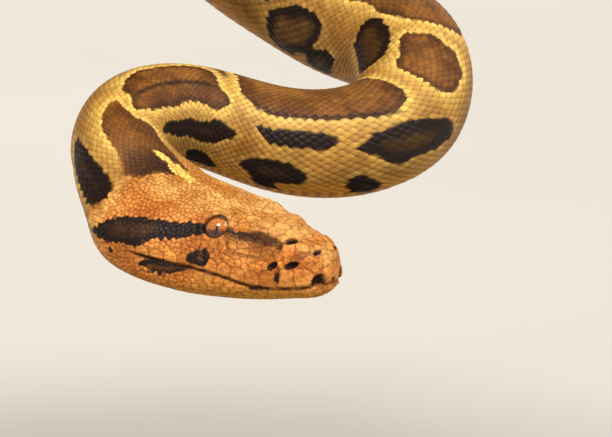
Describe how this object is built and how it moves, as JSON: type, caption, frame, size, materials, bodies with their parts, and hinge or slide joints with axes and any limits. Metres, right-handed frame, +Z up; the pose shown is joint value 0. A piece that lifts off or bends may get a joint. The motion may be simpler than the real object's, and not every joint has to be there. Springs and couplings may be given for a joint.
{
  "type": "coiled python snake",
  "caption": "Life-size rock python wound round a cut branch with its head lowered in front, as a still model on a flat base with rods.",
  "frame": {"origin": "middle of the base's underside", "axes": "+Z up; +X along the branch, towards the end nearer the head; -Y is the side that the head is on"},
  "size_m": [0.7, 0.3664, 0.553],
  "materials": {
    "head_skin": "satin scales, pinkish tan with dark brown stripes",
    "body_skin": "satin scales, tan and cream with brown saddles and near-black side blotches",
    "eye": "glossy, golden brown iris with an upright slit pupil",
    "bark": "rough bark with sawn ends",
    "base_paint": "painted matt black",
    "rod_steel": "satin"
  },
  "bodies": {
    "root": {"head_upper": "head_skin", "lower_jaw": "head_skin", "eye_left": "eye", "eye_right": "eye", "neck": "body_skin", "trunk_01": "body_skin", "trunk_02": "body_skin", "trunk_03": "body_skin", "trunk_04": "body_skin", "trunk_05": "body_skin", "trunk_06": "body_skin", "trunk_07": "body_skin", "trunk_08": "body_skin", "trunk_09": "body_skin", "trunk_10": "body_skin", "trunk_11": "body_skin", "trunk_12": "body_skin", "trunk_13": "body_skin", "trunk_14": "body_skin", "trunk_15": "body_skin", "trunk_16": "body_skin", "trunk_17": "body_skin", "trunk_18": "body_skin", "tail_1": "body_skin", "tail_2": "body_skin", "tail_3": "body_skin", "tail_4": "body_skin", "perch_branch": "bark", "stand_base": "base_paint", "stand_rod_left": "rod_steel", "stand_rod_right": "rod_steel"}
  },
  "joints": []
}
